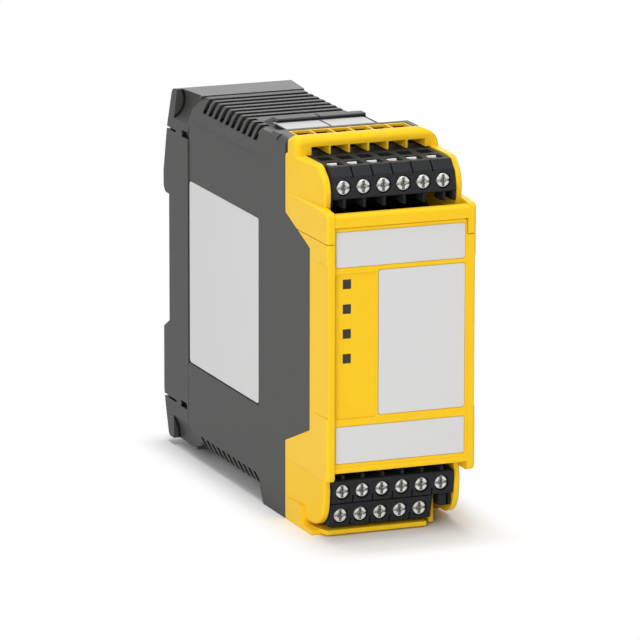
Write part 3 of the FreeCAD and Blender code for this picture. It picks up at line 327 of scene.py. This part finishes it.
class Finish(Enum):
    """Every finish of the module, by the real material."""

    # Dark grey, even and nearly matt, with painted shade in the vents and other narrow hollows, so that the
    # vents read as black lines in it.
    CASE = MouldedPlastic("grey_moulded_polyamide", "#434342", rough=0.38, grain_mm=0.35,
                          grain_deep_mm=0.02, edge_mm=0.35, gloss=0.1, groove_shade_mm=4.0)
    # The same grey, with painted shade only in the small clip slots, so that the wide finger scoops stay
    # open to the eye.
    BASE = MouldedPlastic("grey_moulded_base_polyamide", "#434342", rough=0.38, grain_mm=0.35,
                          grain_deep_mm=0.02, edge_mm=0.35, gloss=0.1, groove_shade_mm=1.2)
    # Warm full yellow with a soft sheen that whitens the upward rounds.
    COVER = MouldedPlastic("yellow_moulded_abs", "#F2C424", rough=0.34, grain_mm=0.4, grain_deep_mm=0.012,
                           edge_mm=0.4, gloss=0.09)
    # Cool light grey film, flat and nearly without grain.
    LABEL = MouldedPlastic("light_grey_label_film", "#D2D2D2", rough=0.5, grain_mm=0.5, grain_deep_mm=0.004,
                           gloss=0.15, cloud=0.01)
    # Duller white of the two thick markers on top, with soft edges.
    MARKER = MouldedPlastic("white_moulded_marker_polyamide", "#C4C4C3", rough=0.5, grain_mm=0.4,
                            grain_deep_mm=0.006, edge_mm=0.15, gloss=0.15, cloud=0.01)
    # Nearly black satin, which keeps the wire holes and grooves readable.
    TERMINAL = MouldedPlastic("black_terminal_polyamide", "#28292B", rough=0.5, grain_mm=0.3,
                              edge_mm=0.2, gloss=0.1)
    # Deeper black for the plugs behind the terminals.
    HEADER = MouldedPlastic("black_header_polyamide", "#161616", rough=0.55, grain_mm=0.3,
                            edge_mm=0.1, gloss=0.25)
    # Smooth slippery black of the sliding latch.
    LATCH = MouldedPlastic("black_latch_polyacetal", "#232323", rough=0.38, grain_mm=0.3,
                           grain_deep_mm=0.01, edge_mm=0.3, gloss=0.4)
    # Smoked windows that look dark while the lamps behind them are off.
    GUIDE = MouldedPlastic("smoked_light_guide_polycarbonate", "#2C2C2B", rough=0.2, grain_mm=0.6,
                           grain_deep_mm=0.002, edge_mm=0.15, gloss=0.35)
    # Milky lamp bodies, pale and glossy.
    LED = MouldedPlastic("clear_lamp_resin", "#E8E6D8", rough=0.2, grain_mm=0.4, grain_deep_mm=0.002)
    # Satin black relay covers with soft bright edges.
    RELAY = MouldedPlastic("black_relay_polybutylene", "#1B1D20", rough=0.4, grain_mm=0.3,
                           grain_deep_mm=0.01, edge_mm=0.3)
    # Matt black chips, duller than the relays beside them.
    CHIP = MouldedPlastic("chip_moulding_resin", "#151515", rough=0.6, grain_mm=0.2, grain_deep_mm=0.012)
    # Deep glossy green, which tells the boards from the black plastic.
    BOARD = SolderResist("green_solder_resist", "#0A2616", "#123A22", 0.16)
    # Bright zinc with painted shade in the drive recesses, which makes the crosses readable.
    # Each row has a face plane of its own, so each has a finish.
    TOP_SCREW = PlatedMetal("zinc_plated_screw_steel_top", "#DCDBD7", rough=0.3, mark_mm=0.25,
                            edge_mm=0.12, face_y_mm=-59.0)
    BOTTOM_SCREW = PlatedMetal("zinc_plated_screw_steel_bottom", "#DCDBD7", rough=0.3, mark_mm=0.25,
                               edge_mm=0.12, face_y_mm=-58.5)
    LOWEST_SCREW = PlatedMetal("zinc_plated_screw_steel_lowest", "#DCDBD7", rough=0.3, mark_mm=0.25,
                               edge_mm=0.12, face_y_mm=-57.1)
    # Pale dull zinc that shows as light patches in the wire holes.
    CLAMP = PlatedMetal("zinc_plated_clamp_steel", "#F2F2EE", rough=0.75, mark_mm=0.3, edge_mm=0.1)
    # Warm tin over brass on the pins, bright when a plug is pulled off.
    PIN = PlatedMetal("tinned_brass", "#CFC9B4", rough=0.3, mark_mm=0.2)
    # Darker bare steel of the folded spring.
    SPRING = PlatedMetal("spring_steel", "#8F9092", rough=0.32, mark_mm=0.2)
    # Cool bright can of the supply capacitor.
    CAN = PlatedMetal("capacitor_aluminium", "#C4C6C9", rough=0.3, mark_mm=0.3)


class Finishes:
    """Builds each finish once and hands it out."""

    def __init__(self) -> None:
        """Start with no material made."""
        self.made: dict[Finish, bpy.types.Material] = {}

    def material(self, finish: Finish) -> bpy.types.Material:
        """Make a finish's material, or find the one that is made.

        Args:
            finish: Finish that is wanted.

        Returns:
            Its material.
        """
        if finish not in self.made:
            self.made[finish] = finish.value.build()
        return self.made[finish]

    def dress(self, node: str, finish: Finish) -> None:
        """Give a CAD node a finish.

        Args:
            node: Name of the CAD node.
            finish: Finish that it gets.
        """
        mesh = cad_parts[node].data
        mesh.materials.clear()
        mesh.materials.append(self.material(finish))
        log.info("dressed %s in %s", node, finish.value.name)


@dataclass
class NodeGroup:
    """CAD nodes that share one finish."""

    finish: Finish
    nodes: tuple[str, ...]

    def dress(self, finishes: Finishes) -> None:
        """Dress every node of the group.

        Args:
            finishes: Finishes that the group's material comes from.
        """
        for node in self.nodes:
            finishes.dress(node, self.finish)


@dataclass
class TerminalRow:
    """One plug-in terminal row: block, clamps, header, pins and screws."""

    name: str
    poles: int
    screw: Finish

    def dress(self, finishes: Finishes) -> None:
        """Dress the row's pieces.

        Args:
            finishes: Finishes that the row's materials come from.
        """
        finishes.dress(f"{self.name}_terminal_block", Finish.TERMINAL)
        finishes.dress(f"{self.name}_clamps", Finish.CLAMP)
        finishes.dress(f"{self.name}_header", Finish.HEADER)
        finishes.dress(f"{self.name}_pins", Finish.PIN)
        for number in range(1, self.poles + 1):
            finishes.dress(f"{self.name}_screw_{number}", self.screw)


@dataclass
class LatchSpring:
    """Folded strip spring under the latch, built at one length."""

    folds: int = 6
    thick_mm: float = 0.5
    travel_mm: float = 3.0
    steps: int = 9

    def centre_line(self, low: np.ndarray, high: np.ndarray) -> np.ndarray:
        """Work out the strip's middle line.

        Level leaves run from side to side, one above the other. Half circles as wide as the leaves'
        spacing join them at alternate ends.

        Args:
            low: Lowest corner of the spring's room.
            high: Highest corner of it.

        Returns:
            Points with x and z, from the lowest leaf's free end to the highest one's.
        """
        thick = self.thick_mm * MM
        spacing = (high[2] - low[2] - thick) / self.folds
        bend = spacing / 2
        reach = (high[0] - low[0] - thick) / 2 - bend
        level = low[2] + thick / 2 + spacing * np.arange(self.folds + 1)[:, None]
        way = (-1.0) ** np.arange(self.folds + 1)[:, None]
        run = np.linspace(-reach, reach, self.steps)[None, :]
        turn = np.linspace(-math.pi / 2, math.pi / 2, self.steps)[None, 1:-1]
        leaves = np.stack([way * run, level + 0 * run], axis=2)
        bends = np.stack([way * (reach + bend * np.cos(turn)), level + bend * (1 + np.sin(turn))], axis=2)
        folded = np.concatenate([leaves, bends], axis=1).reshape(-1, 2)
        return folded[:-turn.size]

    def surface(self, low: np.ndarray, high: np.ndarray) -> tuple[np.ndarray, np.ndarray]:
        """Carry the strip's rectangle along its middle line.

        Half the thickness is laid off to both sides of the line, square to it, at the front and the back.

        Args:
            low: Lowest corner of the spring's room.
            high: Highest corner of it.

        Returns:
            The points and the faces with their four point numbers.
        """
        line = self.centre_line(low, high)
        along = np.gradient(line, axis=0)
        along /= np.linalg.norm(along, axis=1)[:, None]
        off = np.stack([-along[:, 1], along[:, 0]], axis=1) * self.thick_mm * MM / 2
        sides = np.stack([line + off, line + off, line - off, line - off], axis=1)
        depth = np.broadcast_to(np.array([low[1], high[1], high[1], low[1]]), sides.shape[:2])
        points = np.stack([sides[..., 0], depth, sides[..., 1]], axis=2).reshape(-1, 3)
        count = sides.shape[1]
        ring, corner = np.meshgrid(np.arange(len(line) - 1), np.arange(count), indexing="ij")
        here, after = count * ring, (corner + 1) % count
        walls = np.stack([here + corner, here + count + corner, here + count + after, here + after], axis=2)
        ends = np.array([np.arange(count), len(points) - 1 - np.arange(count)])
        return points, np.concatenate([walls.reshape(-1, count), ends])

    def build(self, finishes: Finishes) -> None:
        """Make the spring and put it in the CAD spring's place.

        Args:
            finishes: Finishes that the spring's steel comes from.
        """
        low, high = (np.array(corner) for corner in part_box("latch_spring"))
        points, faces = self.surface(low, high)
        mesh = bpy.data.meshes.new("folded_latch_spring")
        mesh.from_pydata(points.tolist(), [], faces.tolist())
        spring = bpy.data.objects.new("folded_latch_spring", mesh)
        bpy.context.scene.collection.objects.link(spring)
        mesh.materials.append(finishes.material(Finish.SPRING))
        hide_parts("latch_spring")
        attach(spring, "housing")
        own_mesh(spring)
        log.info("built folded_latch_spring with %d faces", len(mesh.polygons))


@dataclass
class SoftBox:
    """Square lamp that faces the module."""

    name: str
    place_mm: tuple[float, float, float]
    size_mm: float
    watts: float
    aim_mm: tuple[float, float, float] = (0.0, 0.0, 55.0)

    def hang(self) -> None:
        """Hang the lamp."""
        data = bpy.data.lights.new(self.name, "AREA")
        data.size = self.size_mm * MM
        data.energy = self.watts
        lamp = bpy.data.objects.new(self.name, data)
        place = Vector(self.place_mm) * MM
        turn = (Vector(self.aim_mm) * MM - place).to_track_quat("-Z", "Y")
        lamp.matrix_world = Matrix.Translation(place) @ turn.to_matrix().to_4x4()
        bpy.context.scene.collection.objects.link(lamp)


@dataclass
class Studio:
    """White floor, soft lamps and the camera fitted to the photograph."""

    azimuth_deg: float = -21.58
    elevation_deg: float = 13.06
    roll_deg: float = 0.10
    focal_px: float = 6503.0
    distance_mm: float = 1871.0
    aim_mm: tuple[float, float, float] = (-1.6, -7.5, 50.5)
    floor_mm: float = 6000.0
    paper_colour: str = "#F0F0F0"
    paper_rough: float = 0.9
    shadow_mm: tuple[float, float] = (0.5, 14.0)
    footprint_mm: tuple[float, float] = (22.0, 67.5)
    footprint_at_mm: tuple[float, float] = (0.5, -6.5)
    room_light: float = 0.4
    lamps: tuple[SoftBox, ...] = (
        SoftBox("front_soft_box", (-720, -800, 260), 700, 6.3),
        SoftBox("top_soft_box", (10, 60, 1000), 350, 4.2),
        SoftBox("upper_front_soft_box", (-120, -330, 950), 400, 2.5),
        SoftBox("back_soft_box", (370, 930, 330), 500, 0.6),
    )

    def camera(self) -> None:
        """Place the camera by its angles, distance and aim point."""
        az, el = math.radians(self.azimuth_deg), math.radians(self.elevation_deg)
        back = Vector((math.sin(az) * math.cos(el), -math.cos(az) * math.cos(el), math.sin(el)))
        data = bpy.data.cameras.new("studio_camera")
        data.sensor_width = SENSOR_MM
        data.lens = self.focal_px * SENSOR_MM / IMAGE_PX
        data.clip_end = FAR_CLIP_M
        camera = bpy.data.objects.new("studio_camera", data)
        turn = back.to_track_quat("Z", "Y").to_matrix().to_4x4()
        roll = Matrix.Rotation(math.radians(self.roll_deg), 4, "Z")
        place = (Vector(self.aim_mm) + back * self.distance_mm) * MM
        camera.matrix_world = Matrix.Translation(place) @ turn @ roll
        bpy.context.scene.collection.objects.link(camera)
        bpy.context.scene.camera = camera

    def floor(self) -> None:
        """Lay a white floor that keeps the module's shadow."""
        half = self.floor_mm * MM / 2
        corners = np.array([[-half, -half, 0], [half, -half, 0], [half, half, 0], [-half, half, 0]])
        mesh = bpy.data.meshes.new("studio_floor")
        mesh.from_pydata(corners.tolist(), [], [(0, 1, 2, 3)])
        floor = bpy.data.objects.new("studio_floor", mesh)
        bpy.context.scene.collection.objects.link(floor)
        mesh.materials.append(self.paper())

    def paper(self) -> bpy.types.Material:
        """Make white paper that shows the shadow near the module and plain white further out.

        The footprint is a rectangle. The distance from it is the length of the vector whose x and y say how
        far a point lies beyond the rectangle's sides, or 0 between them.

        Returns:
            The floor's material.
        """
        material, shader, place = new_material("white_studio_paper")
        tree = material.node_tree
        shader.inputs["Base Color"].default_value = linear(self.paper_colour)
        shader.inputs["Roughness"].default_value = self.paper_rough
        shader.inputs["Specular IOR Level"].default_value = 0.0
        none = (0.0, 0.0, 0.0)
        half = (self.footprint_mm[0] * MM, self.footprint_mm[1] * MM, 0.0)
        middle = (self.footprint_at_mm[0] * MM, self.footprint_at_mm[1] * MM, 0.0)
        steps = (("SUBTRACT", middle), ("ABSOLUTE", none), ("SUBTRACT", half), ("MAXIMUM", none))
        beyond = place
        for operation, value in steps:
            step = add_node(tree, "ShaderNodeVectorMath", {"operation": operation, 1: value}, {0: beyond})
            beyond = step.outputs["Vector"]
        reach = add_node(tree, "ShaderNodeVectorMath", {"operation": "LENGTH"}, {0: beyond})
        far = add_node(tree, "ShaderNodeMapRange",
                       {"interpolation_type": "SMOOTHSTEP", "From Min": self.shadow_mm[0] * MM,
                        "From Max": self.shadow_mm[1] * MM}, {"Value": reach.outputs["Value"]})
        share = add_node(tree, "ShaderNodeMath", {"operation": "MULTIPLY"},
                         {0: far.outputs["Result"], 1: seen_rays(tree)})
        white = add_node(tree, "ShaderNodeEmission", {"Color": linear(WHITE), "Strength": 1.0})
        both = add_node(tree, "ShaderNodeMixShader", None,
                        {0: share.outputs["Value"], 1: shader.outputs["BSDF"],
                         2: white.outputs["Emission"]})
        tree.links.new(both.outputs["Shader"], tree.nodes["Material Output"].inputs["Surface"])
        return material

    def world(self) -> None:
        """Light the room evenly and show it white to the camera and in reflections."""
        world = bpy.data.worlds.new("studio_room")
        world.use_nodes = True
        tree = world.node_tree
        paint = tree.nodes["Background"]
        paint.inputs["Color"].default_value = linear(WHITE)
        level = add_node(tree, "ShaderNodeMapRange", {"To Min": self.room_light, "To Max": 1.0},
                         {"Value": seen_rays(tree)})
        tree.links.new(level.outputs["Result"], paint.inputs["Strength"])
        bpy.context.scene.world = world

    def build(self) -> None:
        """Set the studio up."""
        bpy.context.scene.view_settings.view_transform = "Standard"
        self.floor()
        self.world()
        for lamp in self.lamps:
            lamp.hang()
        self.camera()


GROUPS = (
    NodeGroup(Finish.CASE, ("main_case",)),
    NodeGroup(Finish.BASE, ("rear_base",)),
    NodeGroup(Finish.COVER, ("terminal_hood", "front_cover")),
    NodeGroup(Finish.LABEL, ("upper_label", "info_label", "lower_label", "side_label")),
    NodeGroup(Finish.MARKER, ("top_label_left", "top_label_right")),
    NodeGroup(Finish.GUIDE, ("light_guide",)),
    NodeGroup(Finish.LED, ("status_leds",)),
    NodeGroup(Finish.BOARD, ("display_board", "top_terminal_board", "bottom_terminal_board", "logic_board",
                             "relay_board")),
    NodeGroup(Finish.RELAY, ("safety_relay_1", "safety_relay_2", "safety_relay_3")),
    NodeGroup(Finish.CHIP, ("controller_chip_1", "controller_chip_2")),
    NodeGroup(Finish.CAN, ("supply_capacitor",)),
    NodeGroup(Finish.HEADER, ("top_board_link", "bottom_board_link", "relay_board_link", "display_link")),
    NodeGroup(Finish.LATCH, ("rail_latch",)),
    NodeGroup(Finish.SPRING, ("latch_spring",)),
)
ROWS = (
    TerminalRow("top", 6, Finish.TOP_SCREW),
    TerminalRow("bottom", 6, Finish.BOTTOM_SCREW),
    TerminalRow("lowest", 5, Finish.LOWEST_SCREW),
)


def main() -> None:
    """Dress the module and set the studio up."""
    logging.basicConfig(level=logging.INFO)
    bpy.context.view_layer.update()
    finishes = Finishes()
    for group in GROUPS:
        group.dress(finishes)
    for row in ROWS:
        row.dress(finishes)
    LatchSpring().build(finishes)
    Studio().build()


if __name__ == "__main__":
    main()
